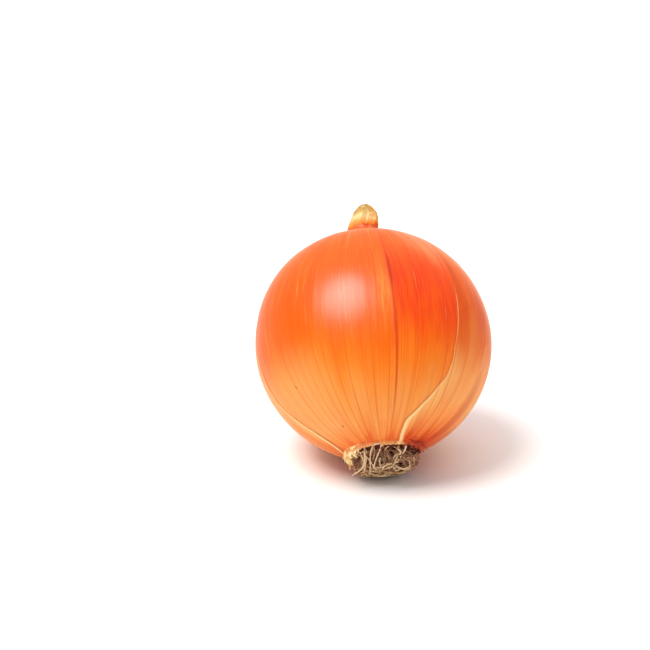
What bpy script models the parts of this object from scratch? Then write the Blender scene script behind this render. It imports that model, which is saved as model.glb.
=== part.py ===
"""A whole dried onion: the bulb with its papery skin and neck, and the root plate with its mat of roots.

Each piece is modelled upright round its own axis, with the root end down, and hangs on an empty that tilts it.
The onion lies tipped forwards on its flank, on a small flat spot at the world's origin, with the roots just
touching the surface in front of that spot. A place on the skin is given by its turn, the angle round the axis
from the front, and by its rise, the angle from the root end seen from the bulb's middle.
"""

import math
import random

import bmesh
import bpy
from mathutils import Euler, Matrix, Vector

MM = 0.001
SHARP_ANGLE = math.radians(40)

# The bulb
BULB_RADIUS = 40 * MM  # over its outermost skin
FLAT_DEPTH = 0.6 * MM  # how much of the round flank the resting spot takes off
LOPSIDED = 0.7 * MM  # how much less full the right side is than the middle, above and below its widest
ROOT_RISE = math.radians(19.5)  # where the skin ends round the roots
SHOULDER_RISE = math.radians(156)  # where the skin starts to draw in to the neck
SHOULDER_PULL_OUT = 8.8 * MM  # how far the bulb's own curve runs on into the shoulder
BULB_ROWS = 27
SHOULDER_ROWS = 5
NECK_ROWS = 6

# The neck
NECK_FOOT = (5.1 * MM, 42.6 * MM)  # radius and height where the neck leaves the shoulder
NECK_TIP_HEIGHT = 52.0 * MM
NECK_PULL_IN = 2.6 * MM  # how far the shoulder's curve runs up along the neck's foot
NECK_WAIST = (4.7 * MM, 47.4 * MM)  # what the neck's outline leans towards on its way up
NECK_ROUNDING = 3.3 * MM  # how wide the blunt tip stays
NECK_LEANS = 1.3 * MM  # how far the tip stands to the right of the bulb's axis
NECK_PLEATS = 5
NECK_PLEAT_DEPTH = 0.09  # as a share of the radius
NECK_PLEAT_START = 0.7
NECK_STARTS = (39.5 * MM, 43 * MM)  # between these heights the skin's relief gives way to pleats
NECK_PINCH = 0.10  # the neck is flatter from front to back than from side to side

# The skin
RIB_HEIGHTS = (0.12 * MM, 0.34 * MM)
SKIN_STEP = 0.45 * MM  # how far the skin that shows in the split lies below the outermost one
LIP_HEIGHT = 0.35 * MM  # how far the outermost skin's pale rolled edge stands above it
RIB_GROWS = math.radians(60)  # the ribs reach their full height at this rise
LIP_WIDTH = math.radians(0.9)
LIP_FOOT = math.radians(3.6)
STEP_FADES = (math.radians(104), math.radians(132))  # the edge melts into the skin between these rises
FRONT_COLUMNS = 28  # of the skin between the two edges
BACK_COLUMNS = 52  # of the skin that goes round the back, the two lips included

# The edges of the split, as turn at each rise, in degrees, from the roots up
LEFT_EDGE = ((19, -80), (23, -70), (30, -64.5), (40, -66), (48, -70.5), (56, -74.5), (80, -76), (100, -80), (180, -84))
RIGHT_EDGE = ((18, 28), (26, 24.5), (34, 25.5), (42, 33), (50, 38.5), (58, 42.5), (74, 44.5), (100, 46.5), (180, 48))

# The torn rim of skin and the socket inside it, which holds the root plate
RIM_RADIUS = 12.9 * MM
RIM_HEIGHT = -38.5 * MM
RIM_RAGGED = 0.7 * MM
RIM_FLARE = 0.5
SOCKET_RADIUS = 12.1 * MM
SOCKET_MOUTH = -37.7 * MM
SOCKET_FLOOR = -36.0 * MM
SKIN_SEED = 5

# The root plate and its roots
GAP = 0.3 * MM
WELD = 0.01 * MM
PLATE_RIM_HEIGHT = -38.6 * MM
PLATE_CROWN_HEIGHT = -40.2 * MM
PLATE_RINGS = (1, 0.6, 0)  # as shares of its radius
PLATE_SIDES = 28
ROOTS = 78
ROOT_SIDES = 3
ROOT_RADIUS = 0.52 * MM
ROOT_TIP = 0.6  # as a share of the radius
ROOT_SUNK = 1.0 * MM
ROOT_STEP = 2.6 * MM
ROOT_STEPS = (5, 7)
ROOT_SPREAD = 2.2  # how far a root's first heading may turn away from straight out
ROOT_BEND = (0.15, 0.7)  # how much each step turns
ROOT_DEEP = (0, 0.6)  # how deep in the mat a root starts to curl, where 1 is the mat's outside
ROOT_SINKS = (0.1, 0.3)  # how much deeper each step goes, until the root turns back
MAT_RADIUS = 13.9 * MM  # the mat of roots is a low dome below the plate
MAT_DEPTH = 6.3 * MM
MAT_TOP = 1.5 * MM  # it starts this far below the skin's rim
MAT_ROUNDING = 0.62  # how much shallower it gets towards its rim
MAT_GIVES = 1.2 * MM  # how softly it meets the surface that the onion lies on
ROOT_SEED = 21

# How the onion lies
TIP_FORWARD = math.radians(40.7)
LEAN = math.radians(7.7)
SPIN = math.radians(-7.6)  # about its own axis, before it is tipped

SKIN_COLOUR = (0.86, 0.30, 0.05, 1)
SKIN_ROUGHNESS = 0.32
ROOT_COLOUR = (0.52, 0.36, 0.20, 1)
ROOT_ROUGHNESS = 0.85


def clear_scene():
    for obj in list(bpy.data.objects):
        bpy.data.objects.remove(obj, do_unlink=True)


def material(name, colour, roughness):
    made = bpy.data.materials.new(name)
    made.use_nodes = True
    shader = made.node_tree.nodes["Principled BSDF"]
    shader.inputs["Base Color"].default_value = colour
    shader.inputs["Roughness"].default_value = roughness
    shader.inputs["Metallic"].default_value = 0
    return made


def smooth_between(low, high, value):
    """0 below low, 1 above high, and an even curve between."""
    share = min(1, max(0, (value - low) / (high - low)))
    return share * share * (3 - 2 * share)


def bezier(start, pull_out, pull_in, end, steps):
    """The points of a cubic curve after its start, in the plane."""
    points = []
    for step in range(1, steps + 1):
        t = step / steps
        weights = ((1 - t) ** 3, 3 * t * (1 - t) ** 2, 3 * t * t * (1 - t), t**3)
        corners = (start, pull_out, pull_in, end)
        points.append(tuple(sum(w * c[axis] for w, c in zip(weights, corners)) for axis in (0, 1)))
    return points


def bulb_outline():
    """Radius and height of the bulb's outline, from the middle of the socket out over the skin to the neck's tip."""
    inside = [(0, SOCKET_FLOOR), (SOCKET_RADIUS * 0.6, SOCKET_FLOOR), (SOCKET_RADIUS, SOCKET_FLOOR)]
    rim = [(SOCKET_RADIUS, SOCKET_MOUTH), (RIM_RADIUS, RIM_HEIGHT)]
    rises = [ROOT_RISE + (SHOULDER_RISE - ROOT_RISE) * row / BULB_ROWS for row in range(BULB_ROWS + 1)]
    skin = [(BULB_RADIUS * math.sin(rise), -BULB_RADIUS * math.cos(rise)) for rise in rises]
    radius, height = skin[-1]
    leaves = (
        radius + SHOULDER_PULL_OUT * math.cos(SHOULDER_RISE),
        height + SHOULDER_PULL_OUT * math.sin(SHOULDER_RISE),
    )
    foot_radius, foot_height = NECK_FOOT
    shoulder = bezier(skin[-1], leaves, (foot_radius, foot_height - NECK_PULL_IN), NECK_FOOT, SHOULDER_ROWS)
    neck = bezier(NECK_FOOT, NECK_WAIST, (NECK_ROUNDING, NECK_TIP_HEIGHT), (0, NECK_TIP_HEIGHT), NECK_ROWS)
    return inside + rim + skin + shoulder + neck


def slope_at(edge, place):
    """How fast an edge of the split turns at one of its places."""
    low, low_turn = edge[max(place - 1, 0)]
    high, high_turn = edge[min(place + 1, len(edge) - 1)]
    return (high_turn - low_turn) / (high - low)


def edge_turn(edge, rise):
    """The turn of one edge of the split skin at a rise: a smooth curve through its few places."""
    degrees = min(edge[-1][0], max(edge[0][0], math.degrees(rise)))
    place = next(number for number in range(1, len(edge)) if degrees <= edge[number][0])
    (low, low_turn), (high, high_turn) = edge[place - 1 : place + 1]
    share = (degrees - low) / (high - low)
    leaving = (1 - share) * slope_at(edge, place - 1) - share * slope_at(edge, place)
    turned = low_turn + (high_turn - low_turn) * smooth_between(low, high, degrees)
    return math.radians(turned + (high - low) * share * (1 - share) * leaving)


def column_turn(column, rise):
    """The turn of a column of the skin's mesh. Columns crowd at both edges of the split, and follow them."""
    left = edge_turn(LEFT_EDGE, rise)
    right = edge_turn(RIGHT_EDGE, rise)
    if column <= FRONT_COLUMNS:
        return left + (right - left) * column / FRONT_COLUMNS
    column -= FRONT_COLUMNS
    back_start = right + LIP_FOOT
    back_end = left + 2 * math.pi - LIP_FOOT
    if column == 1:
        return right + LIP_WIDTH
    if column == BACK_COLUMNS - 1:
        return left + 2 * math.pi - LIP_WIDTH
    return back_start + (back_end - back_start) * (column - 2) / (BACK_COLUMNS - 4)


def column_height(column, rise, rib):
    """How far the ribs, the split's step and its rolled lips raise a column of the skin."""
    stays = 1 - smooth_between(*STEP_FADES, rise)
    if column in (FRONT_COLUMNS + 1, FRONT_COLUMNS + BACK_COLUMNS - 1):
        return LIP_HEIGHT * stays
    height = rib * (column % 2) * smooth_between(ROOT_RISE, RIB_GROWS, rise)
    if column <= FRONT_COLUMNS:
        height -= SKIN_STEP * stays
    return height


def skin_point(radius, height, column, rib, ragged):
    """Where a point of the outline goes in one column, with the skin's relief and the neck's pleats."""
    rise = math.atan2(radius, -height)
    turn = column_turn(column, rise)
    if height <= RIM_HEIGHT:
        height -= ragged
        radius += ragged * RIM_FLARE
    elif height > SOCKET_FLOOR or radius > SOCKET_RADIUS:
        necked = smooth_between(*NECK_STARTS, height)
        away = column_height(column, rise, rib) - LOPSIDED * math.sin(turn) * abs(math.sin(2 * rise))
        radius += away * (1 - necked) * math.sin(rise)
        height -= away * (1 - necked) * math.cos(rise)
        radius *= 1 + necked * NECK_PLEAT_DEPTH * math.cos(NECK_PLEATS * turn + NECK_PLEAT_START)
        radius *= 1 + necked * NECK_PINCH * (math.sin(turn) ** 2 - 0.5)
    leaning = NECK_LEANS * smooth_between(NECK_STARTS[0], NECK_TIP_HEIGHT, height)
    return Vector((radius * math.sin(turn) + leaning, -radius * math.cos(turn), height))


def world_of_onion():
    """The matrix that carries the upright onion to how it lies."""
    tipped = Euler((-TIP_FORWARD, 0, LEAN)).to_matrix() @ Matrix.Rotation(SPIN, 3, "Z")
    return Matrix.Translation((0, 0, BULB_RADIUS - FLAT_DEPTH)) @ tipped.to_4x4()


def add_flat_spot(mesh):
    """Takes off what would lie under the surface, and closes the cut with one flat face."""
    to_onion = world_of_onion().inverted()
    surface = to_onion @ Vector((0, 0, 0))
    down = to_onion.to_3x3() @ Vector((0, 0, -1))
    cut = bmesh.ops.bisect_plane(
        mesh, geom=mesh.verts[:] + mesh.edges[:] + mesh.faces[:], plane_co=surface, plane_no=down, clear_outer=True,
    )
    rim = [item for item in cut["geom_cut"] if isinstance(item, bmesh.types.BMEdge)]
    bmesh.ops.contextual_create(mesh, geom=rim)


def make_bulb(tilt, skin):
    columns = FRONT_COLUMNS + BACK_COLUMNS
    draw = random.Random(SKIN_SEED)
    reliefs = [(draw.uniform(*RIB_HEIGHTS), RIM_RAGGED * draw.random()) for _ in range(columns)]
    mesh = bmesh.new()
    rows = []
    for radius, height in bulb_outline():
        if radius == 0:
            rows.append([mesh.verts.new(skin_point(0, height, 0, 0, 0))])
            continue
        rows.append([
            mesh.verts.new(skin_point(radius, height, column, *relief)) for column, relief in enumerate(reliefs)
        ])
    for low, high in zip(rows, rows[1:]):
        for column in range(columns):
            after = (column + 1) % columns
            corners = [low[column % len(low)], low[after % len(low)], high[after % len(high)], high[column % len(high)]]
            mesh.faces.new(list(dict.fromkeys(corners)))
    add_flat_spot(mesh)
    bmesh.ops.recalc_face_normals(mesh, faces=mesh.faces[:])
    return finish_object("bulb", mesh, tilt, skin)


def finish_object(name, mesh, tilt, finish):
    data = bpy.data.meshes.new(name)
    mesh.to_mesh(data)
    mesh.free()
    data.materials.append(finish)
    data.shade_smooth()
    data.set_sharp_from_angle(angle=SHARP_ANGLE)
    made = bpy.data.objects.new(name, data)
    bpy.context.scene.collection.objects.link(made)
    made.parent = tilt
    return made


def make_plate(tilt, finish):
    """The root plate: a low crowned disc that stands in the bulb's socket with a small gap round it."""
    radius = SOCKET_RADIUS - GAP
    top = SOCKET_FLOOR - GAP
    outline = [(0, top), (radius, top)]
    outline += [(radius * share, plate_height(radius * share)) for share in PLATE_RINGS]
    mesh = bmesh.new()
    line = [mesh.verts.new((across, 0, height)) for across, height in outline]
    edges = [mesh.edges.new(pair) for pair in zip(line, line[1:])]
    bmesh.ops.spin(
        mesh, geom=line + edges, cent=(0, 0, 0), axis=(0, 0, 1), angle=2 * math.pi, steps=PLATE_SIDES, use_merge=True,
    )
    bmesh.ops.remove_doubles(mesh, verts=mesh.verts[:], dist=WELD)
    bmesh.ops.recalc_face_normals(mesh, faces=mesh.faces[:])
    return finish_object("root_tuft", mesh, tilt, finish)


def plate_height(radius):
    """The height of the plate's underside at a distance from the axis."""
    share = radius / (SOCKET_RADIUS - GAP)
    return PLATE_CROWN_HEIGHT + (PLATE_RIM_HEIGHT - PLATE_CROWN_HEIGHT) * share * share


def in_mat(across, deep):
    """A place in the mat: how far across the axis, and how deep between the mat's top and its rounded outside.

    The mat gives way softly both at its rim and where it meets the surface that the onion lies on.
    """
    inside = across / (1 + (across.length / MAT_RADIUS) ** 4) ** 0.25
    outside = MAT_DEPTH * math.sqrt(1 - MAT_ROUNDING * (inside.length / MAT_RADIUS) ** 2)
    depth = MAT_TOP + (outside - MAT_TOP) * deep
    to_world = world_of_onion()
    placed = to_world @ Vector((inside.x, inside.y, RIM_HEIGHT - depth))
    clear = placed.z - ROOT_RADIUS - GAP
    placed.z = ROOT_RADIUS + GAP + (clear + math.hypot(clear, MAT_GIVES)) / 2
    return to_world.inverted() @ placed


def root_path(draw):
    """One dried root: out of the plate, then curling sideways in the mat."""
    start_turn = draw.uniform(0, 2 * math.pi)
    start_radius = (SOCKET_RADIUS - GAP - ROOT_RADIUS * 2) * math.sqrt(draw.random())
    across = Vector((math.cos(start_turn), math.sin(start_turn))) * start_radius
    path = [Vector((*across, plate_height(start_radius) + ROOT_SUNK))]
    heading = start_turn + draw.uniform(-ROOT_SPREAD, ROOT_SPREAD)
    bend = draw.choice((-1, 1)) * draw.uniform(*ROOT_BEND)
    deep = draw.uniform(*ROOT_DEEP)
    sinks = draw.uniform(*ROOT_SINKS)
    for _ in range(draw.randint(*ROOT_STEPS)):
        path.append(in_mat(across, deep))
        across += Vector((math.cos(heading), math.sin(heading))) * ROOT_STEP
        heading += bend
        deep += sinks
        if not 0 < deep < 1:
            sinks = -sinks
            deep = min(1, max(0, deep))
    return path


def root_tube(path, number):
    """A root as a closed mesh: a ring of few sides at each place of its path, a little thinner at its tip."""
    mesh = bmesh.new()
    rings = []
    side = Vector((1, 0, 0))
    for place, point in enumerate(path):
        ahead = (path[min(place + 1, len(path) - 1)] - path[max(place - 1, 0)]).normalized()
        side = (side - ahead * side.dot(ahead)).normalized()
        radius = ROOT_RADIUS * (ROOT_TIP if place == len(path) - 1 else 1)
        ring = []
        for corner in range(ROOT_SIDES):
            angle = 2 * math.pi * corner / ROOT_SIDES
            ring.append(mesh.verts.new(point + (side * math.cos(angle) + ahead.cross(side) * math.sin(angle)) * radius))
        rings.append(ring)
    for low, high in zip(rings, rings[1:]):
        for corner in range(ROOT_SIDES):
            after = (corner + 1) % ROOT_SIDES
            mesh.faces.new((low[corner], low[after], high[after], high[corner]))
    mesh.faces.new(rings[0])
    mesh.faces.new(rings[-1])
    bmesh.ops.recalc_face_normals(mesh, faces=mesh.faces[:])
    data = bpy.data.meshes.new(f"root_{number}")
    mesh.to_mesh(data)
    mesh.free()
    return bpy.data.objects.new(data.name, data)


def keep_outer_shell(data):
    """Fills the hollows that crossing roots seal in, and drops loose scraps: only the widest closed shell stays."""
    mesh = bmesh.new()
    mesh.from_mesh(data)
    bmesh.ops.triangulate(mesh, faces=mesh.faces[:])
    unseen = set(mesh.faces)
    shells = []
    while unseen:
        shell = {unseen.pop()}
        border = list(shell)
        while border:
            for edge in border.pop().edges:
                if len(edge.link_faces) == 2:
                    found = [face for face in edge.link_faces if face in unseen]
                    unseen.difference_update(found)
                    shell.update(found)
                    border.extend(found)
        shells.append(shell)
    widest = max(shells, key=len)
    bmesh.ops.delete(mesh, geom=[face for face in mesh.faces if face not in widest], context="FACES")
    mesh.to_mesh(data)
    mesh.free()


def grow_roots(plate):
    """Joins all the roots to the plate in one Boolean union."""
    roots = bpy.data.collections.new("roots")
    bpy.context.scene.collection.children.link(roots)
    draw = random.Random(ROOT_SEED)
    for number in range(ROOTS):
        tube = root_tube(root_path(draw), number)
        tube.parent = plate
        roots.objects.link(tube)
    bpy.context.view_layer.update()
    union = plate.modifiers.new("roots", "BOOLEAN")
    union.operation = "UNION"
    union.operand_type = "COLLECTION"
    union.collection = roots
    union.solver = "MANIFOLD"
    graph = bpy.context.evaluated_depsgraph_get()
    joined = bpy.data.meshes.new_from_object(plate.evaluated_get(graph))
    plate.modifiers.remove(union)
    keep_outer_shell(joined)
    plate.data = joined
    for tube in list(roots.objects):
        bpy.data.objects.remove(tube, do_unlink=True)
    bpy.data.collections.remove(roots)


def main():
    clear_scene()
    tilt = bpy.data.objects.new("how_it_lies", None)
    bpy.context.scene.collection.objects.link(tilt)
    tilt.matrix_world = world_of_onion()
    make_bulb(tilt, material("onion_skin", SKIN_COLOUR, SKIN_ROUGHNESS))
    plate = make_plate(tilt, material("dry_root", ROOT_COLOUR, ROOT_ROUGHNESS))
    grow_roots(plate)


main()
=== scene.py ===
"""A whole dried onion, lying tipped forwards on its flank, on a pale studio floor.

Every piece is modelled upright round the onion's own axis, root end down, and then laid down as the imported
solids lie. A place on the skin is given by its turn, the angle round the axis from the front, and its rise,
the angle from the root end seen from the bulb's middle. The outermost skin has split open down the front:
it goes from the right edge of the split round the back to the left edge.
"""

import math
import random

import bpy
import numpy as np
from mathutils import Euler, Matrix, Vector


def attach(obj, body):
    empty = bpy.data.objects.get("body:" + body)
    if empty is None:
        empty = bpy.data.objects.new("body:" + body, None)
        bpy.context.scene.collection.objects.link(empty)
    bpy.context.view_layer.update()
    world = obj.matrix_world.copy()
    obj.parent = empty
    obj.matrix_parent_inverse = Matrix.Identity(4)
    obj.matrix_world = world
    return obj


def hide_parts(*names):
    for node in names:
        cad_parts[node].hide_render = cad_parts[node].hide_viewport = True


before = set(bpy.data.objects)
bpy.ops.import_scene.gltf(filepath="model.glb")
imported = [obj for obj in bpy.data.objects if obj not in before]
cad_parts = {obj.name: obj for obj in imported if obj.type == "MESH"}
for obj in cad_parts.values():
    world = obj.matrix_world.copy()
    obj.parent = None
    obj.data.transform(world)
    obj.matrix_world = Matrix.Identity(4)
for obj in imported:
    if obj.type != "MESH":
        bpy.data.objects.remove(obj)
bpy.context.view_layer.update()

MM = 0.001
WHOLE_TURN = 2 * math.pi

# The bulb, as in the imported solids
BULB_RADIUS = 40 * MM
FLAT_DEPTH = 0.6 * MM
SPOT_GIVES = 0.15 * MM  # how softly the round flank goes over into the spot
LOPSIDED = 0.7 * MM  # how far it swells on its right and upper left, and draws in below on its left
ROOT_RISE = math.radians(19.5)  # where the skin starts, at the roots
SHOULDER_RISE = math.radians(156)  # where the ball goes over into the neck
SHOULDER_PULL_OUT = 8.8 * MM
NECK_FOOT = (5.1 * MM, 42.6 * MM)
NECK_PULL_IN = 2.6 * MM
NECK_WAIST = (4.7 * MM, 47.4 * MM)
NECK_ROUNDING = 3.3 * MM
NECK_TIP_HEIGHT = 52.0 * MM
NECK_STARTS = (39.5 * MM, 43 * MM)  # the relief of the skin gives way to the neck's
NECK_LEANS = 1.75 * MM
NECK_LEANT = 0.4 * NECK_STARTS[1] + 0.6 * NECK_TIP_HEIGHT  # above this it leans in full
SOCKET_RADIUS = 12.1 * MM
SOCKET_FLOOR = -36.0 * MM
RIM_RADIUS = 12.9 * MM
RIM_HEIGHT = -38.5 * MM
RIM_REACHES = 1.2 * MM  # how near the rim its ragged edge is cut
SKIN_RELIEF_FROM = SOCKET_RADIUS + 0.95 * MM  # inside this the rim has no relief of the skin

# How finely the skin is modelled
SKIN_ROWS = 148
SHOULDER_ROWS = 14
NECK_ROWS = 16
RIM_ROWS = 5
FRONT_COLUMNS = 184
OUTER_COLUMNS = 296
COLUMNS = FRONT_COLUMNS + OUTER_COLUMNS
CROWDING = 0.8  # how strongly columns gather at the edges of the split
MERGE_WITHIN = 0.0005 * MM

# The neck's relief: how often its pleats go round, their phase and depth, and its pinch and crinkles
NECK_PLEATS = ((5, 0.7, 0.075), (11, 0, 0.04), (23, 1, 0.02))
NECK_PINCH = 0.10
NECK_CRINKLES = 0.02

# The split in the outermost skin: its edges as turn at each rise, in degrees
LEFT_EDGE = (
    (19, -80), (23, -70.5), (30, -66), (40, -68), (48, -72), (56, -75.5), (80, -76), (100, -80), (180, -84),
)
RIGHT_EDGE = (
    (18, 27), (26, 23), (34, 23.8), (42, 31.2), (50, 37.2), (58, 42.5), (74, 44.5), (100, 46.5), (180, 48),
)
EDGE_TORN = 0.004  # how far the edges waver near the roots, in radians
SKIN_STEP = 0.26 * MM
STEP_FADES = (math.radians(74), math.radians(116))
LIP_THIN = 0.05 * MM
LIP_THICK = 0.15 * MM
LIP_THINS = (math.radians(34), math.radians(66))
LIP_CREST = 0.5 * MM  # how far behind its edge the lip is highest
LIP_SPREAD = 0.55 * MM
OVERHANG = 0.2 * MM
OVERHANG_SPREAD = 0.5 * MM
TUCK = 0.1 * MM
TUCK_SPREAD = 0.3 * MM
EDGE_GAP = 0.1 * MM
EDGE_GAP_SPREAD = 1 * MM

# The veins, which crease the skin from the roots to the neck
VEINS = 70
HAIRLINES_PER_VEIN = 4
STRONG_VEIN = 12  # its turn in degrees
VEIN_SPREAD = 0.36  # how unevenly they stand
VEIN_RELIEF = (0.02 * MM, 0.09 * MM)
VEIN_WANDER = math.radians(1.1)
VEINS_GROW = (ROOT_RISE, math.radians(48))
VEINS_FADE = (2.2, 2.7)  # in radians of rise
VEIN_SEED = 8
BROAD_SWELLING = 0.1 * MM
RAGGED_RIM = 0.22 * MM

# How the onion lies
TIP_FORWARD = math.radians(40.7)
LEAN = math.radians(7.7)
SPIN = math.radians(-7.6)

# The camera
FRAME_PIXELS = 650
CAMERA_LENS = 100
CAMERA_DISTANCE = 617 * MM
CAMERA_ELEVATION = math.radians(22)
CENTRE_RIGHT_OF_MIDDLE = 47.4  # where the bulb's centre stands in the picture, in pixels
CENTRE_BELOW_MIDDLE = 20.3

# The softbox, high on the left and a little in front
KEY_DIRECTION = (-0.42, -0.15, 0.895)
KEY_SOFTNESS = math.radians(31)
KEY_STRENGTH = 2.45
# A second one a little lower, which shows only as the pale highlight on the skin
HIGHLIGHT_DIRECTION = (-0.38, -0.30, 0.87)
HIGHLIGHT_SOFTNESS = math.radians(40)
HIGHLIGHT_STRENGTH = 7.6

# The white surroundings: their light at the horizon and overhead, and its share in front and behind
OVERHEAD_LIGHT = (0.75, 1.75)
OVERHEAD_RANGE = (0.1, 1.0)
FRONT_LIGHT = (0.5, 1.25)
FRONT_RANGE = (-0.6, 1.0)

FLOOR_SIZE = 12  # in metres
FLOOR_COLOUR = (0.92, 0.91, 0.9, 1)


# Shader maths

def maths(operation, reflected=False):
    """A method that adds one Math node. The wire is its first value, or its last where reflected."""
    def method(wire, *others):
        values = (*others, wire) if reflected else (wire, *others)
        return wire.paint.node("ShaderNodeMath", {"operation": operation}, dict(enumerate(values)))
    return method


class Wire:
    """An output of a paint's nodes, which adds, multiplies and divides as a number does."""

    __add__ = maths("ADD")
    __radd__ = maths("ADD", reflected=True)
    __sub__ = maths("SUBTRACT")
    __rsub__ = maths("SUBTRACT", reflected=True)
    __mul__ = maths("MULTIPLY")
    __rmul__ = maths("MULTIPLY", reflected=True)
    __truediv__ = maths("DIVIDE")
    __mod__ = maths("FLOORED_MODULO")
    sine = maths("SINE")
    cosine = maths("COSINE")
    size = maths("ABSOLUTE")
    whole = maths("ROUND")

    def __init__(self, paint, socket):
        self.paint = paint
        self.socket = socket

    def output(self, name):
        """Another output of the same node."""
        return Wire(self.paint, self.socket.node.outputs[name])


class Paint:
    """The shader nodes of one material, or of the world."""

    def __init__(self, owner):
        owner.use_nodes = True
        self.owner = owner
        self.tree = owner.node_tree
        self.tree.nodes.clear()

    def node(self, kind, settings=None, sockets=None, out=0):
        """Adds a node, sets it, feeds its sockets with wires or values, and gives one of its outputs."""
        made = self.tree.nodes.new(kind)
        settings = dict(settings or {})
        stops = settings.pop("stops", None)
        for name, value in settings.items():
            setattr(made, name, value)
        if stops:
            ramp = made.color_ramp.elements
            ramp[1].position, ramp[1].color = stops[-1]
            ramp[0].position, ramp[0].color = stops[0]
            for position, colour in stops[1:-1]:
                ramp.new(position).color = colour
        for name, value in (sockets or {}).items():
            if isinstance(value, Wire):
                self.tree.links.new(value.socket, made.inputs[name])
            else:
                made.inputs[name].default_value = value
        return Wire(self, made.outputs[out]) if made.outputs else None

    def attribute(self, name):
        return self.node("ShaderNodeAttribute", {"attribute_name": name}, out="Fac")

    def place(self):
        return self.node("ShaderNodeTexCoord", out="Object")

    def smooth(self, value, low, high):
        """0 below low, 1 above high, and an even curve between."""
        sockets = {"Value": value, "From Min": low, "From Max": high}
        return self.node("ShaderNodeMapRange", {"interpolation_type": "SMOOTHSTEP"}, sockets)

    def fades(self, value, low, high):
        """1 below low, 0 above high, and an even curve between."""
        return 1 - self.smooth(value, low, high)

    def window(self, value, low, full, until, high):
        """1 between full and until, and 0 below low and above high."""
        return self.smooth(value, low, full) * self.fades(value, until, high)

    def blend(self, share, first, second):
        """The first colour where share is 0, going over to the second where it is 1."""
        settings = {"data_type": "RGBA", "clamp_factor": True}
        return self.node("ShaderNodeMix", settings, {0: share, 6: first, 7: second}, out=2)

    def layers(self, colour, *laid_over):
        """A colour with others laid over it in turn, each given as its share and itself."""
        for share, over in laid_over:
            colour = self.blend(share, colour, over)
        return colour

    def ramp(self, value, low, high, stops):
        """A colour for each place between low and high. The stops are places and colours."""
        spread = [((place - low) / (high - low), (*colour, 1)) for place, colour in stops]
        share = (value - low) / (high - low)
        return self.node("ShaderNodeValToRGB", {"stops": spread}, {"Fac": share})

    def noise(self, place, scale, detail, roughness):
        sockets = {"Vector": place, "Scale": scale, "Detail": detail, "Roughness": roughness}
        return self.node("ShaderNodeTexNoise", None, sockets)

    def spots(self, place, scale, share, small, large):
        """1 in a few small round spots spread over a piece. Small and large are shares of a cell."""
        sockets = {"Vector": place, "Scale": scale}
        away = self.node("ShaderNodeTexVoronoi", None, sockets, out="Distance")
        drawn = self.node("ShaderNodeSeparateColor", None, {0: away.output("Color")})
        return self.fades(away, small, large) * self.smooth(drawn, 1 - share, 1 - share + 0.01)

    def along_map(self, name):
        """The two numbers of a UV map."""
        place = self.node("ShaderNodeUVMap", {"uv_map": name})
        across = self.node("ShaderNodeSeparateXYZ", None, {0: place})
        return across, across.output("Y")

    def place_on_skin(self):
        """Turn and rise in degrees, and two points for noise that streaks along the veins without a seam."""
        across, up = self.along_map("place")
        turn = (across - 0.5) * 360
        rise = up * 180
        radians = turn * (math.pi / 180)
        streaks = []
        for shrink in (0.0024, 0.001):
            point = {"X": radians.sine(), "Y": radians.cosine(), "Z": rise * shrink}
            streaks.append(self.node("ShaderNodeCombineXYZ", None, point))
        return turn, rise, *streaks

    def finish(self, colour, roughness, height=None, bump=0.0, bump_distance=0.1 * MM, **constants):
        """Feeds the shader. The constants are set on its own sockets."""
        sockets = {"Base Color": colour, "Roughness": roughness, "Metallic": 0.0}
        if height is not None:
            bumped = {"Strength": bump, "Distance": bump_distance, "Height": height}
            sockets["Normal"] = self.node("ShaderNodeBump", None, bumped)
        for name, value in constants.items():
            sockets[name.replace("_", " ").title().replace("Ior", "IOR")] = value
        shader = self.node("ShaderNodeBsdfPrincipled", None, sockets)
        self.node("ShaderNodeOutputMaterial", None, {"Surface": shader})
        return self.owner


# Modelling helpers

def smooth_between(low, high, value):
    """0 below low, 1 above high, and an even curve between."""
    share = np.clip((value - low) / (high - low), 0, 1)
    return share * share * (3 - 2 * share)


def ridge(away, spread):
    """A rounded ridge: 1 in its middle, and almost 0 from two spreads away."""
    return np.exp(-((away / spread) ** 2))


def held_up(height, gives):
    """A height that never falls below 0. How softly it goes over is given in metres."""
    return (height + np.hypot(height, gives)) / 2


def waves(seed, counts, turn):
    """An uneven wave that joins up with itself after a whole turn, between about -1 and 1."""
    draw = random.Random(seed)
    total = 0
    for count in counts:
        total = total + np.cos(count * turn + draw.uniform(0, WHOLE_TURN)) * draw.uniform(0.5, 1)
    return total / math.sqrt(len(counts))


def bezier(start, pull_out, pull_in, end, steps):
    """The points of a cubic curve after its start, in the plane."""
    points = []
    corners = (start, pull_out, pull_in, end)
    for step in range(1, steps + 1):
        t = step / steps
        weights = ((1 - t) ** 3, 3 * t * (1 - t) ** 2, 3 * t * t * (1 - t), t**3)
        points.append(tuple(sum(w * c[axis] for w, c in zip(weights, corners)) for axis in (0, 1)))
    return points


def world_of_onion():
    """The matrix that carries the upright onion to how it lies."""
    tipped = Euler((-TIP_FORWARD, 0, LEAN)).to_matrix() @ Matrix.Rotation(SPIN, 3, "Z")
    return Matrix.Translation((0, 0, BULB_RADIUS - FLAT_DEPTH)) @ tipped.to_4x4()


def select(pieces):
    """Selects these pieces alone, with the first as the active one."""
    bpy.ops.object.select_all(action="DESELECT")
    for piece in pieces:
        piece.select_set(True)
    bpy.context.view_layer.objects.active = pieces[0]


def add_primitive(add, **sizes):
    """A new primitive at the origin, with nothing else selected."""
    bpy.ops.object.select_all(action="DESELECT")
    add(location=(0, 0, 0), **sizes)
    return bpy.context.object


def name_piece(piece, name):
    piece.name = name
    piece.data.name = name


def copy_of(piece):
    copy = bpy.data.objects.new(piece.name, piece.data.copy())
    bpy.context.scene.collection.objects.link(copy)
    return copy


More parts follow.
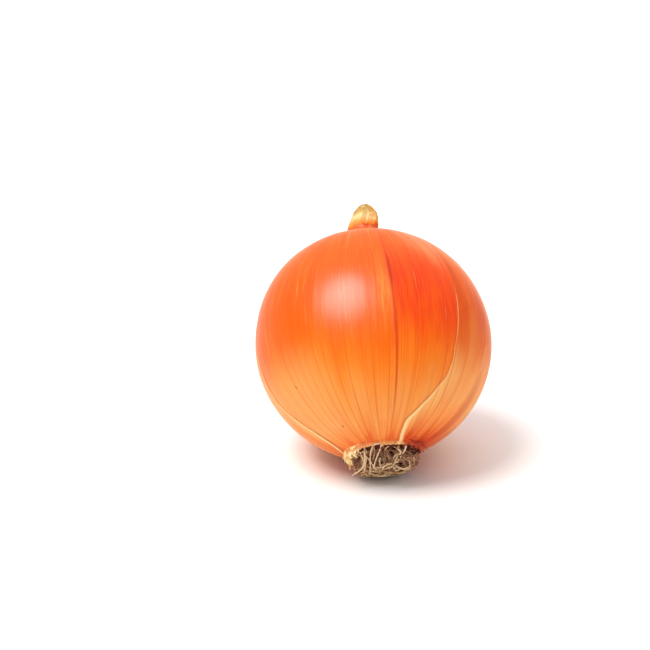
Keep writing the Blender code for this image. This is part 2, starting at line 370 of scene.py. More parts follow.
def join_pieces(name, copies):
    select(copies)
    if len(copies) > 1:
        bpy.ops.object.join()
    name_piece(copies[0], name)
    return copies[0]


def draw_outline(name, outline):
    """A new object in edit mode that holds one line of points, given as radius and height, at turn 0."""
    piece = add_primitive(bpy.ops.mesh.primitive_plane_add, size=1 * MM)
    name_piece(piece, name)
    bpy.ops.object.mode_set(mode="EDIT")
    bpy.ops.mesh.select_all(action="SELECT")
    bpy.ops.mesh.merge(type="CENTER")
    radius, height = outline[0]
    bpy.ops.transform.translate(value=(0, -radius, height))
    for after in outline[1:]:
        move = (0, radius - after[0], after[1] - height)
        bpy.ops.mesh.extrude_region_move(TRANSFORM_OT_translate={"value": move})
        radius, height = after
    return piece


def spin_round(steps):
    """Spins the line in edit mode for an eighth of a turn, copies that round, and closes seam and poles."""
    bpy.ops.mesh.select_all(action="SELECT")
    bpy.ops.mesh.spin(steps=steps // 8, angle=WHOLE_TURN / 8, center=(0, 0, 0), axis=(0, 0, 1))
    for doubled in (WHOLE_TURN / 8, WHOLE_TURN / 4, WHOLE_TURN / 2):
        bpy.ops.mesh.select_all(action="SELECT")
        bpy.ops.mesh.duplicate()
        bpy.ops.transform.rotate(value=doubled, orient_axis="Z", center_override=(0, 0, 0))
    bpy.ops.mesh.select_all(action="SELECT")
    bpy.ops.mesh.remove_doubles(threshold=MERGE_WITHIN)
    bpy.ops.mesh.normals_make_consistent(inside=False)
    bpy.ops.object.mode_set(mode="OBJECT")


def points_of(piece):
    flat = np.empty(len(piece.data.vertices) * 3)
    piece.data.vertices.foreach_get("co", flat)
    return flat.reshape(-1, 3)


def move_points(piece, points):
    piece.data.vertices.foreach_set("co", np.ascontiguousarray(points, dtype=np.float32).ravel())
    piece.data.update()


def round_axis(points):
    """The turn and the radius of an upright piece's points."""
    return np.arctan2(points[:, 0], -points[:, 1]), np.hypot(points[:, 0], points[:, 1])


def upright(radius, turn, height):
    """The points of an upright piece at each radius, turn and height."""
    return np.column_stack((radius * np.sin(turn), -radius * np.cos(turn), height))


def write_attribute(piece, name, values):
    """An attribute from one value for each point, or from one for them all."""
    made = piece.data.attributes.new(name, "FLOAT", "POINT")
    each = np.broadcast_to(values, len(piece.data.vertices))
    made.data.foreach_set("value", np.ascontiguousarray(each, dtype=np.float32))


def read_all(parts, name):
    numbers = np.empty(len(parts), dtype=np.int32)
    parts.foreach_get(name, numbers)
    return numbers


def write_map(piece, name, across, along, whole_turn):
    """A UV map from values for each point. A face on the seam gets a whole turn added on its far side."""
    mesh = piece.data
    corners = read_all(mesh.loops, "vertex_index")
    starts = read_all(mesh.polygons, "loop_start")
    sizes = read_all(mesh.polygons, "loop_total")
    values = across[corners]
    highest = np.repeat(np.maximum.reduceat(values, starts), sizes)
    values = values + whole_turn * (highest - values > whole_turn / 2)
    made = mesh.uv_layers.new(name=name)
    made.data.foreach_set("uv", np.column_stack((values, along[corners])).astype(np.float32).ravel())


def lay_down(piece, material):
    """Lays the upright piece down as the solids lie, with its place in its mesh, and gives it its finish."""
    select([piece])
    piece.matrix_world = world_of_onion()
    bpy.ops.object.transform_apply(location=True, rotation=True, scale=True)
    bpy.ops.object.shade_smooth()
    piece.data.materials.clear()
    piece.data.materials.append(material)
    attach(piece, "root")


# The skin

def edge_places(edge):
    """An edge's turn for every quarter degree of rise: a smooth curve through its few places, in radians."""
    known = np.array(edge, dtype=float)
    slopes = np.gradient(known[:, 1], known[:, 0])
    degrees = np.arange(0, 180.25, 0.25)
    held = np.clip(degrees, known[0, 0], known[-1, 0])
    place = np.clip(np.searchsorted(known[:, 0], held) - 1, 0, len(known) - 2)
    low, high = known[place], known[place + 1]
    span = high[:, 0] - low[:, 0]
    share = (held - low[:, 0]) / span
    leaving = (1 - share) * slopes[place] - share * slopes[place + 1]
    turned = low[:, 1] + (high[:, 1] - low[:, 1]) * share * share * (3 - 2 * share)
    return np.radians(degrees), np.radians(turned + span * share * (1 - share) * leaving)


def edge_turns(rise):
    """The turns of the split's left and right edge at each rise, a little torn near the roots."""
    left = np.interp(rise, *edge_places(LEFT_EDGE))
    right = np.interp(rise, *edge_places(RIGHT_EDGE))
    torn = EDGE_TORN * (1 - smooth_between(math.radians(50), math.radians(80), rise))
    left += torn * (np.sin(rise * 41) + 0.5 * np.sin(rise * 97 + 1))
    right += torn * (np.sin(rise * 37 + 2) + 0.5 * np.sin(rise * 89))
    return left, right


def crowded(share):
    """A share of the way between the two edges, with small steps near both."""
    return share - CROWDING * np.sin(WHOLE_TURN * share) / WHOLE_TURN


def vein_places():
    """The turns of the veins, in order, once round, and how high the skin swells after each."""
    draw = random.Random(VEIN_SEED)
    spacing = 360 / VEINS
    first = STRONG_VEIN - spacing * round((STRONG_VEIN + 180) / spacing)
    turns = []
    for number in range(VEINS):
        turn = first + spacing * number
        if abs(turn - STRONG_VEIN) > spacing / 2:
            turn += spacing * draw.uniform(-VEIN_SPREAD, VEIN_SPREAD)
        turns.append(math.radians(turn))
    swells = [draw.uniform(*VEIN_RELIEF) for _ in range(VEINS)]
    return np.array(turns), np.array(swells)


def between_veins(turn, rise):
    """How many veins lie before each place, going round. The number isn't whole between two veins."""
    turns, _ = vein_places()
    wander = VEIN_WANDER * np.sin(3 * turn + 2.3 * rise)
    around = np.concatenate((turns[-3:] - WHOLE_TURN, turns, turns[:3] + WHOLE_TURN))
    return np.interp(turn + wander, around, np.arange(-3, VEINS + 3))


def skin_outline():
    """Radius and height of the outline, from the socket's middle out over the skin to the neck's tip."""
    corner = (SOCKET_RADIUS, SOCKET_FLOOR)
    inside = [(0, SOCKET_FLOOR), (6 * MM, SOCKET_FLOOR), corner]
    over_rim = (RIM_RADIUS - 0.5 * MM, RIM_HEIGHT - 0.1 * MM)
    rim = bezier(corner, (SOCKET_RADIUS, RIM_HEIGHT), over_rim, (RIM_RADIUS, RIM_HEIGHT), RIM_ROWS)
    rises = np.linspace(ROOT_RISE, SHOULDER_RISE, SKIN_ROWS + 1)
    skin = [(BULB_RADIUS * math.sin(rise), -BULB_RADIUS * math.cos(rise)) for rise in rises]
    radius, height = skin[-1]
    leaves = (
        radius + SHOULDER_PULL_OUT * math.cos(SHOULDER_RISE),
        height + SHOULDER_PULL_OUT * math.sin(SHOULDER_RISE),
    )
    into_neck = (NECK_FOOT[0], NECK_FOOT[1] - NECK_PULL_IN)
    shoulder = bezier(skin[-1], leaves, into_neck, NECK_FOOT, SHOULDER_ROWS)
    neck = bezier(NECK_FOOT, NECK_WAIST, (NECK_ROUNDING, NECK_TIP_HEIGHT), (0, NECK_TIP_HEIGHT), NECK_ROWS)
    return inside + rim + skin + shoulder + neck


def spread_columns(column, rise):
    """Spreads the columns of points over the split and the outermost skin, closer together at the edges.

    Gives which points lie in the split, their turns, how far a radian carries them, how far behind the
    nearest edge they lie, which is negative in the split, and the way round that leads back from it.
    """
    left, right = edge_turns(rise)
    round_to_left = left + WHOLE_TURN
    front = column <= FRONT_COLUMNS
    front_turn = left + (right - left) * crowded(column / FRONT_COLUMNS)
    outer_share = crowded((column - FRONT_COLUMNS - 1) / (OUTER_COLUMNS - 2))
    turn = np.where(front, front_turn, right + (round_to_left - right) * outer_share)
    around = np.maximum(BULB_RADIUS * np.sin(rise), 1 * MM)
    to_right = (turn - right) * around
    to_left = (np.where(front, left, round_to_left) - turn) * around
    from_edge = np.where(front, np.maximum(to_right, to_left), np.minimum(to_right, to_left))
    right_side = np.where(front, to_right > to_left, to_right < to_left)
    return front, turn, around, from_edge, np.where(right_side, 1, -1)


def split_relief(front, rise, from_edge, outwards):
    """How far the split moves each point along the skin, and how far out of it."""
    stays = 1 - smooth_between(*STEP_FADES, rise)
    thick = 1 - smooth_between(*LIP_THINS, rise)
    lip = (LIP_THIN + (LIP_THICK - LIP_THIN) * thick) * (0.85 + 0.15 * np.sin(rise * 47 + outwards))
    tucked_in = TUCK * stays * ridge(from_edge, TUCK_SPREAD)
    gap = EDGE_GAP * np.exp(-np.abs(from_edge) / EDGE_GAP_SPREAD)
    overhanging = gap - OVERHANG * stays * ridge(from_edge, OVERHANG_SPREAD)
    rolled_up = lip * stays * ridge(from_edge - LIP_CREST, LIP_SPREAD)
    return np.where(front, tucked_in, overhanging), np.where(front, -SKIN_STEP * stays, rolled_up)


def skin_relief(turn, rise):
    """How far the swelling between the veins, broad waves and lopsided growth raise the skin."""
    cell = between_veins(turn, rise)
    _, swells = vein_places()
    share = cell - np.floor(cell)
    cushion = (4 * share * (1 - share)) ** 0.7
    grows = smooth_between(*VEINS_GROW, rise) * (1 - 0.6 * smooth_between(*VEINS_FADE, rise))
    raised = swells[np.floor(cell).astype(int) % VEINS] * cushion
    raised += BROAD_SWELLING * waves(3, (3, 5, 8, 11), turn)
    side = np.sin(turn)
    upper = np.where(rise > math.pi / 2, 1, -1)
    swollen = np.where(side > 0, np.sin(rise) ** 4, upper * np.sin(2 * rise) ** 2)
    return raised * grows + LOPSIDED * side**2 * swollen


def neck_relief(turn, height):
    """How much wider the neck is at each place: pleats that twist, a pinch and fine crinkles."""
    climb = (height - NECK_FOOT[1]) / MM
    twist = turn + climb * 0.05 + 0.12 * np.sin(climb * 0.9)
    pleats = sum(depth * np.cos(count * twist + phase) for count, phase, depth in NECK_PLEATS)
    pinch = NECK_PINCH * (np.sin(turn) ** 2 - 0.5)
    crinkles = NECK_CRINKLES * np.sin(climb * 2.6 + 3 * np.sin(2 * turn + 1)) * smooth_between(1, 4, climb)
    return pleats + pinch + crinkles


def shape_skin(piece):
    """Moves the spun ball's points to the relief of the split, its rolled edges, veins, rim and neck."""
    points = points_of(piece)
    column_turn, radius = round_axis(points)
    height = points[:, 2].copy()
    column = np.round(column_turn / WHOLE_TURN * COLUMNS).astype(int) % COLUMNS
    rise = np.arctan2(radius, -height)
    front, turn, around, from_edge, outwards = spread_columns(column, rise)
    shift, away = split_relief(front, rise, from_edge, outwards)
    turn = turn + outwards * shift / around
    away = away + skin_relief(turn, rise)

    necked = smooth_between(*NECK_STARTS, height)
    on_skin = (height > SOCKET_FLOOR + 0.1 * MM) | (radius > SKIN_RELIEF_FROM)
    away = np.where(on_skin, away, 0) * (1 - necked)
    new_radius = (radius + away * np.sin(rise)) * (1 + necked * neck_relief(turn, height))
    at_rim = smooth_between(SOCKET_FLOOR - RIM_REACHES, RIM_HEIGHT, height)
    at_rim *= radius < SOCKET_RADIUS + RIM_REACHES
    ragged = RAGGED_RIM * (1 + waves(5, (7, 13, 19, 31, 53), turn))
    points = upright(new_radius, turn, height - away * np.cos(rise) - at_rim * ragged)
    points[:, 0] += NECK_LEANS * smooth_between(NECK_STARTS[0], NECK_LEANT, height)
    move_points(piece, points)

    plain_turn = (turn + math.pi) % WHOLE_TURN
    write_map(piece, "place", plain_turn / WHOLE_TURN, rise / math.pi, 1.0)
    write_map(piece, "veins", between_veins(plain_turn - math.pi, rise), rise / math.pi, float(VEINS))
    write_attribute(piece, "from_edge", from_edge / MM)
    write_attribute(piece, "height", height / MM)


def make_skin(material):
    piece = draw_outline("skin", skin_outline())
    spin_round(COLUMNS)
    shape_skin(piece)
    lay_down(piece, material)
    points = points_of(piece)
    points[:, 2] = held_up(points[:, 2], SPOT_GIVES)
    move_points(piece, points)
    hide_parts("bulb")


# Colours of the skin between the edges of the split, from the roots up, by rise in degrees
FRONT_COLOURS = (
    (19, (0.84, 0.15, 0.02)), (26, (0.93, 0.28, 0.05)), (38, (0.95, 0.35, 0.075)), (50, (0.95, 0.31, 0.045)),
    (62, (0.95, 0.22, 0.011)), (74, (0.94, 0.15, 0.003)), (86, (0.93, 0.11, 0.001)),
    (102, (0.91, 0.10, 0.001)), (122, (0.92, 0.11, 0.001)), (142, (0.92, 0.12, 0.002)),
    (156, (0.92, 0.19, 0.03)), (172, (0.86, 0.15, 0.025)),
)
# The same for the outermost skin, which goes round the back
OUTER_COLOURS = (
    (19, (0.62, 0.06, 0.01)), (24, (0.80, 0.14, 0.022)), (35, (0.94, 0.32, 0.075)), (48, (0.95, 0.41, 0.12)),
    (62, (0.94, 0.36, 0.10)), (76, (0.80, 0.145, 0.018)), (92, (0.74, 0.09, 0.008)),
    (108, (0.80, 0.12, 0.016)), (130, (0.86, 0.16, 0.022)), (155, (0.84, 0.15, 0.02)),
    (175, (0.76, 0.09, 0.012)),
)
# Colours of the neck, by height in millimetres
NECK_COLOURS = (
    (42.2, (0.56, 0.045, 0.012)), (42.8, (0.74, 0.09, 0.015)), (43.3, (0.90, 0.22, 0.03)),
    (44.2, (0.93, 0.38, 0.08)), (45.4, (0.92, 0.60, 0.26)), (46.9, (0.88, 0.62, 0.29)),
    (48.0, (0.66, 0.40, 0.13)), (49.2, (0.50, 0.29, 0.08)), (50.6, (0.42, 0.23, 0.06)),
    (51.5, (0.26, 0.14, 0.04)), (51.95, (0.16, 0.09, 0.03)),
)
# What is laid over them on the skin
# painted bounce light from the floor: paler orange low on the left of the front skin
PALE_SIDE_BOUNCE_LIGHT = (0.95, 0.42, 0.13, 1)
DEEP_RED = (0.84, 0.042, 0.001, 1)
# a paler orange patch left of the strong vein: partly the skin's own colour, partly the painted outer edge
# of the highlight
PALE_PATCH_AND_HIGHLIGHT_EDGE = (0.97, 0.36, 0.07, 1)
BAND_LIGHT = (0.86, 0.27, 0.055, 1)
BAND_DARK = (0.55, 0.045, 0.006, 1)
# painted haze: a paler band of reflected light along the upper right shoulder
PAINTED_SHOULDER_HAZE = (0.95, 0.33, 0.14, 1)
# paler outer skin beside the split's edges low down: partly its dry colour, partly painted bounce light from
# the floor
PALE_EDGE_AND_BOUNCE_LIGHT = (0.96, 0.50, 0.15, 1)
STREAK_LIGHT = (0.97, 0.42, 0.10, 1)
STREAK_DARK = (0.78, 0.07, 0.005, 1)
VEIN_COLOUR = (0.64, 0.065, 0.004, 1)
HAIRLINE_COLOUR = (0.52, 0.03, 0.003, 1)
CREAM = (0.97, 0.65, 0.29, 1)
RIM_TAN = (0.90, 0.46, 0.16, 1)
RIM_RED = (0.40, 0.05, 0.02, 1)
SOCKET_DARK = (0.16, 0.025, 0.01, 1)
SPECK_BROWN = (0.30, 0.09, 0.02, 1)
SPECKS = ((-49.4, 60.5), (-32.7, 33.8), (-26.8, 103.3), (-13.7, 107.5))  # turn and rise
# The haze along the rim of the skin
SHEEN_TINT = (1, 0.82, 0.62, 1)
# What is laid over the neck
NECK_SHADED = (0.62, 0.27, 0.045, 1)
NECK_FIBRES = (0.60, 0.32, 0.09, 1)
NECK_WARM_FOOT = (0.90, 0.24, 0.04, 1)
NECK_SIDES = (0.24, 0.12, 0.035, 1)
NECK_PALE = (0.72, 0.46, 0.19, 1)
NECK_PALE_AT = (-12, 50.4)  # the pale patch near the tip, as turn and height in millimetres


def skin_colour(paint, turn, rise, from_edge, streak, fine, middling):
    """The skin's colour without its veins and edges: two ramps up the bulb, broken up by streaks, with
    painted bounce light low on the front and beside the split's edges, painted haze on the right shoulder,
    and a paler patch that is partly the painted edge of the highlight.
    """
    drift = paint.noise(streak, 5, 2, 0.5) - 0.5
    uneven_rise = rise + drift * 32 + (middling - 0.5) * 15
    # painted bounce light from the floor, low on the left of the front skin
    pale_side_bounce_light = paint.fades(turn, -46, -14) * paint.window(rise, 24, 36, 56, 84)
    red_side = paint.smooth(turn + drift * 6, 8, 13) * paint.fades(turn, 40, 54)
    red_side = red_side * paint.window(uneven_rise, 66, 96, 104, 134)
    # a paler patch left of the strong vein, partly the skin's own colour and partly the painted outer edge
    # of the highlight
    pale_patch_and_highlight_edge = paint.smooth(turn + drift * 9, 0, 9) * paint.fades(turn + (fine - 0.5) * 3, 10, 14)
    pale_patch_and_highlight_edge = pale_patch_and_highlight_edge * paint.window(uneven_rise, 76, 94, 100, 124)
    outer = paint.smooth(from_edge, -0.25, 0.25)
    bands = paint.noise(streak, 2.3, 1, 0.5)
    # painted haze of reflected light, a paler band along the upper right shoulder
    shoulder = paint.smooth(uneven_rise, 112, 140) * paint.window(turn, 14, 40, 90, 140)
    # paler outer skin near the split's edges low down, partly its dry colour and partly painted bounce light
    # from the floor
    pale_edge_and_bounce_light = outer * paint.fades(from_edge, 0.5, 7) * paint.window(rise, 24, 36, 52, 78)
    streaks = (middling - 0.5) * 0.5 + (fine - 0.5) * 0.6
    return paint.layers(
        paint.ramp(uneven_rise, 0, 180, FRONT_COLOURS),
        (pale_side_bounce_light * 0.6, PALE_SIDE_BOUNCE_LIGHT),
        (red_side * (0.35 + paint.smooth(middling, 0.3, 0.6) * 0.6), DEEP_RED),
        (pale_patch_and_highlight_edge * (0.15 + paint.smooth(fine, 0.3, 0.7) * 0.4), PALE_PATCH_AND_HIGHLIGHT_EDGE),
        (outer, paint.ramp(uneven_rise, 0, 180, OUTER_COLOURS)),
        (outer * paint.smooth(bands, 0.5, 0.66) * 0.6, BAND_LIGHT),
        (outer * paint.fades(bands, 0.34, 0.5) * 0.55, BAND_DARK),
        (shoulder * 0.55, PAINTED_SHOULDER_HAZE),
        (pale_edge_and_bounce_light * 0.75, PALE_EDGE_AND_BOUNCE_LIGHT),
        (paint.smooth(streaks, 0.0, 0.36) * 0.4, STREAK_LIGHT),
        (paint.fades(streaks, -0.36, 0.0) * 0.5, STREAK_DARK),
    )


def vein_lines(paint, cell, width, number):
    """Thin lines at every whole cell, each of its own strength. Width is one cell's, in millimetres."""
    nearest = cell.whole()
    strength = paint.node("ShaderNodeTexWhiteNoise", {"noise_dimensions": "1D"}, {"W": nearest % number})
    away = (cell - nearest).size() * width
    return paint.fades(away, 0.05, 0.28) * (0.15 + strength * 0.85)


def vein_masks(paint, turn, rise):
    """The veins, fainter above the bulb's middle, the hairlines, fainter below it, and the strong vein."""
    cell, _ = paint.along_map("veins")
    low_down = paint.fades(rise, 66, 120)
    width = (rise * (math.pi / 180)).sine() * (WHOLE_TURN * BULB_RADIUS / MM / VEINS)
    veins = vein_lines(paint, cell, width, VEINS) * (0.5 + low_down * 0.5)
    finer = cell * HAIRLINES_PER_VEIN + 0.5
    hairlines = vein_lines(paint, finer, width / HAIRLINES_PER_VEIN, VEINS * HAIRLINES_PER_VEIN)
    from_strong = (turn - STRONG_VEIN).size()
    strong = paint.fades(from_strong, 0.1, 1.1) * paint.window(rise, 25, 60, 126, 150)
    smear = paint.fades(from_strong, 0.4, 3.6) * paint.window(rise, 96, 108, 112, 126)
    return veins, hairlines * (1 - low_down * 0.6), strong + smear * 0.8


def lip_masks(paint, rise, from_edge):
    """Where the outermost skin's edge is cream, and the painted shade in a dark line beside it, under the
    lifted edge.
    """
    low_down = paint.fades(rise, 32, 62)
    width = 0.42 + low_down * 1.15
    on_lip = paint.window(from_edge, -0.25, 0.1, width * 0.25, width * 1.2) * (0.24 + low_down * 0.7)
    # painted shade: a dark line on the split's side of the edge, where the outer skin stands over it
    beside = paint.window(from_edge, -1.1, -0.3, -0.25, -0.05) * (0.2 + low_down * 0.1)
    return on_lip * paint.fades(rise, 92, 108), beside * paint.fades(rise, 84, 104)


def speck_mask(paint, turn, rise, place):
    """Small brown specks: a few at their own places, and some spread all over."""
    specks = paint.spots(place, 110, 0.12, 0.02, 0.05)
    for speck_turn, speck_rise in SPECKS:
        away = (turn - speck_turn).size() * math.sin(math.radians(speck_rise)) + (rise - speck_rise).size()
        specks = specks + paint.fades(away, 0.3, 1.1)
    return specks


def neck_colour(paint, turn, height, middling, grain):
    """The neck's ramp up to its dry tip, with darker sides, a warm foot and a pale patch."""
    drift = grain - 0.5
    shaded = paint.smooth(turn + drift * 60, 15, 50) * paint.smooth(height, 44.5, 46.5)
    warm_foot = paint.fades(turn, -45, -5) * paint.fades(height + drift * 1.2, 44.2, 46.6)
    sides = paint.smooth(turn.size() + drift * 30, 58, 92) * paint.smooth(height, 44.5, 46)
    pale_turn, pale_height = NECK_PALE_AT
    from_pale = (turn - pale_turn).size() * 0.05 + (height - pale_height).size() + drift * 0.8
    return paint.layers(
        paint.ramp(height + (middling - 0.5) * 1.4 + drift * 1.8, 42, 53, NECK_COLOURS),
        (shaded * 0.75, NECK_SHADED),
        (paint.smooth(grain, 0.55, 0.7) * 0.5, NECK_FIBRES),
        (warm_foot * 0.7, NECK_WARM_FOOT),
        (sides * 0.7, NECK_SIDES),
        (paint.fades(from_pale, 0.5, 1.1) * 0.8, NECK_PALE),
    )


def skin_paint():
    """Glossy orange skin: pale near the roots, red on its shoulder, with fine veins and pale split edges."""
    paint = Paint(bpy.data.materials.new("onion_skin_visual"))
    turn, rise, streak, long_streak = paint.place_on_skin()
    from_edge = paint.attribute("from_edge")
    height = paint.attribute("height")
    place = paint.place()
    fine = paint.noise(long_streak, 90, 3, 0.6)
    middling = paint.noise(streak, 22, 2, 0.5)
    grain = paint.noise(place, 700, 3, 0.6)
    veins, hairlines, strong = vein_masks(paint, turn, rise)
    on_lip, painted_shade_beside_lip = lip_masks(paint, rise, from_edge)
    rim = paint.fades(rise + (fine - 0.5) * 3, 18.6, 19.6)
    neck = paint.smooth(height, 42.3, 43.0)
    colour = paint.layers(
        skin_colour(paint, turn, rise, from_edge, streak, fine, middling),
        (hairlines * 0.55, HAIRLINE_COLOUR),
        (veins * 0.7, VEIN_COLOUR),
        (strong * 0.6, HAIRLINE_COLOUR),
        # painted shade beside the lifted edge, in the veins' colour
        (painted_shade_beside_lip, VEIN_COLOUR),
        (on_lip, CREAM),
        (rim * 0.8, paint.blend(paint.window(turn, 32, 44, 104, 124), RIM_TAN, RIM_RED)),
        (paint.fades(rise, 17.9, 18.3), SOCKET_DARK),
        (speck_mask(paint, turn, rise, place) * 0.75, SPECK_BROWN),
        (neck, neck_colour(paint, turn, height, middling, grain)),
    )
    dry = paint.smooth(from_edge, -0.25, 0.25)
    roughness = 0.35 + dry * 0.1 + (middling - 0.5) * 0.16 + neck * 0.25
    relief = fine * 0.5 + middling * 0.5 - veins * 0.6 + neck * grain
    return paint.finish(
        colour, roughness, relief, 0.22, 0.12 * MM, specular_ior_level=0.0,
        coat_weight=(0.34 - dry * 0.16) * (1 - neck * 0.6), coat_roughness=0.32, coat_ior=1.5,
        sheen_weight=0.6, sheen_roughness=0.26, sheen_tint=SHEEN_TINT,
    )


# The root plate and its roots

PLATE_RADIUS = 11.8 * MM
PLATE_RIM_HEIGHT = -38.6 * MM
PLATE_CROWN_HEIGHT = -40.2 * MM
PLATE_COLUMNS = 72
PLATE_ROWS = 19
PLATE_LUMPS = 0.25 * MM
ROOT_SIDES = 5
ROOT_SEGMENTS = 12
ALONG_ROOT = [step / ROOT_SEGMENTS for step in range(ROOT_SEGMENTS + 1)]
ROOT_RADII = (0.2 * MM, 0.4 * MM)
MAT_RADIUS = 13.1 * MM
MAT_DEPTH = 6.4 * MM
MAT_TOP = 0.9 * MM
MAT_ROUNDING = 0.62
MAT_LEFT_SHARE = 0.86  # the mat reaches less far on its left, where the collar is wide
MAT_GIVES = 1.0 * MM
HOLLOW_STARTS = (-2 * MM, 9 * MM)  # towards its front the mat is pressed back, and shows the plate
HOLLOW_LEAVES = 0.22
HOLLOW_ENDS = (2 * MM, 7 * MM)  # and not on its right side
TURNS_BACK = 9.5 * MM  # a curled root that gets this far out heads inwards again
FLOOR_GAP = 0.5 * MM
ROOT_SEED = 21
STUBS_LIT = 0.52  # how far the short roots stand out of the dark, where 1 is in the open
ROOT_DARK = (0.54, 0.29, 0.12, 1)
ROOT_PALE = (0.98, 0.72, 0.44, 1)
# painted shade for the roots that lie deep in the mat
ROOT_PAINTED_SHADE = (0.20, 0.05, 0.025, 1)
ROOT_FOOT = (0.24, 0.06, 0.025, 1)
ROOT_FIBRES = (0.38, 0.20, 0.08, 1)
PLATE_DARK = (0.07, 0.012, 0.006, 1)
PLATE_BROWN = (0.19, 0.04, 0.018, 1)


def plate_height(radius):
    share = radius / PLATE_RADIUS
    return PLATE_CROWN_HEIGHT + (PLATE_RIM_HEIGHT - PLATE_CROWN_HEIGHT) * share * share


def make_plate(material):
    """The dark root plate: a low crowned disc in the bulb's socket, lumpy where the roots leave it."""
    top = SOCKET_FLOOR - 0.3 * MM
    crown = [(radius, plate_height(radius)) for radius in np.linspace(PLATE_RADIUS, 0, PLATE_ROWS)]
    outline = [(0, top), (PLATE_RADIUS, top)] + crown
    piece = draw_outline("root_plate", outline)
    spin_round(PLATE_COLUMNS)
    points = points_of(piece)
    turn, radius = round_axis(points)
    lumps = np.sin(radius * 2400 + 2 * waves(2, (7, 11, 5), turn)) * waves(4, (13, 17, 23), turn)
    points[:, 2] += PLATE_LUMPS * lumps * (points[:, 2] < PLATE_RIM_HEIGHT + 0.1 * MM)
    move_points(piece, points)
    lay_down(piece, material)


def towards(turn):
    """The direction of a turn in the plane across the onion's axis."""
    return Vector((math.sin(turn), -math.cos(turn)))


def on_plate(across, away):
    """A place just off the root plate."""
    return Vector((*across, plate_height(across.length) + away))


def settle(place):
    """A place of a root, kept clear of the surface that the onion lies on."""
    to_world = world_of_onion()
    placed = to_world @ place
    placed.z = FLOOR_GAP + float(held_up(placed.z - FLOOR_GAP, MAT_GIVES))
    return to_world.inverted() @ placed


def in_mat(across, deep):
    """A place in the mat of roots. Deep is 0 at its top, under the skin's rim, and 1 at its outside."""
    inside = across / (1 + (across.length / MAT_RADIUS) ** 4) ** 0.25
    if inside.x < 0:
        inside.x *= MAT_LEFT_SHARE
    outside = MAT_DEPTH * math.sqrt(1 - MAT_ROUNDING * min(1, inside.length / MAT_RADIUS) ** 2)
    on_left = 1 - 0.8 * smooth_between(*HOLLOW_ENDS, inside.x)
    outside *= 1 - (1 - HOLLOW_LEAVES) * float(smooth_between(*HOLLOW_STARTS, -inside.y) * on_left)
    depth = MAT_TOP + (outside - MAT_TOP) * deep
    return settle(Vector((inside.x, inside.y, RIM_HEIGHT - depth)))


def curled_root(draw):
    """A root that curls in the mat: its places, and how far out of the dark socket it lies."""
    while True:
        start_turn = draw.uniform(0, WHOLE_TURN)
        across = towards(start_turn) * (PLATE_RADIUS - 0.6 * MM) * math.sqrt(draw.random())
        if -across.y < draw.uniform(-2, 6) * MM or across.x > draw.uniform(2, 9) * MM:
            break
    path = [on_plate(across, 0.6 * MM)]
    heading = start_turn + draw.uniform(-2.2, 2.2)
    bend = draw.choice((-1, 1)) * draw.uniform(0.05, 0.4)
    step = draw.uniform(0.9, 1.7) * MM
    deep = draw.uniform(0.1, 0.9)
    sinks = draw.uniform(0.03, 0.14)
    outermost = draw.uniform(0.86, 1.1)
    depths = []
    for _ in range(ROOT_SEGMENTS):
        place = in_mat(across, deep)
        path.append(place)
        depths.append((RIM_HEIGHT - place.z) / MAT_DEPTH)
        across = across + towards(heading) * step
        bend += draw.uniform(-0.12, 0.12)
        heading += bend
        if across.length > TURNS_BACK or -across.y > 5 * MM:
            inwards = math.atan2(-across.x, across.y + 3 * MM)
            heading += 0.55 * math.sin(inwards - heading)
        deep += sinks
        if not 0 < deep < outermost:
            sinks = -sinks
            deep = min(outermost, max(0, deep))
    return path, sum(depths) / len(depths)


def arched_root(draw):
    """A root that leaves under the rim at the front and arches over the hollow to the mat's outside."""
    start_turn = math.radians(draw.uniform(-48, 48))
    start = towards(start_turn) * draw.uniform(10.4, 12.2) * MM
    end = Vector((start.x * 0.6 + draw.uniform(-5.5, 5.5) * MM, draw.uniform(-5, 3) * MM))
    lift = draw.uniform(0.55, 1.2)
    sway = draw.uniform(-1.8, 1.8) * MM
    depth = draw.uniform(4.4, 6.6) * MM
    path = []
    for share in ALONG_ROOT:
        across = start.lerp(end, share ** 1.2) + Vector((sway * math.sin(share * math.pi * 1.6), 0))
        down = -0.8 * MM + (depth + 0.8 * MM) * math.sin(min(1, share * 1.2) * math.pi / 2) ** lift
        path.append(settle(Vector((across.x, across.y, RIM_HEIGHT - down))))
    return path, 1.0


def crossing_root(draw):
    """A long root that lies across the outside of the mat, from side to side."""
    front = draw.uniform(-7, 3) * MM
    side = draw.choice((-1, 1))
    start = draw.uniform(7, 12) * MM
    slope = draw.uniform(-0.25, 0.25)
    wave = draw.uniform(0, 6)
    path = []
    for step in range(ROOT_SEGMENTS + 1):
        travelled = step * draw.uniform(1.1, 1.5) * MM
        swing = 0.5 * MM * math.sin(step * 0.8 + wave)
        across = Vector((side * (travelled - start), -front + slope * travelled + swing))
        path.append(in_mat(across, 1.02 + 0.09 * math.sin(step * 0.9 + wave)))
    return path, 1.0


def stub_root(draw):
    """A short root that stands almost straight out of the plate."""
    across = towards(draw.uniform(0, WHOLE_TURN)) * 10.5 * MM * math.sqrt(draw.random())
    leaning = towards(draw.uniform(0, WHOLE_TURN)) * draw.uniform(0, 0.45)
    length = draw.uniform(3.2, 6.2) * MM
    curl = draw.uniform(-1.6, 1.6) * MM
    top = on_plate(across, 0.6 * MM).z
    path = []
    for share in ALONG_ROOT:
        place = across + leaning * length * share + Vector((curl * share**2, 0))
        path.append(settle(Vector((*place, top - length * share))))
    return path, STUBS_LIT


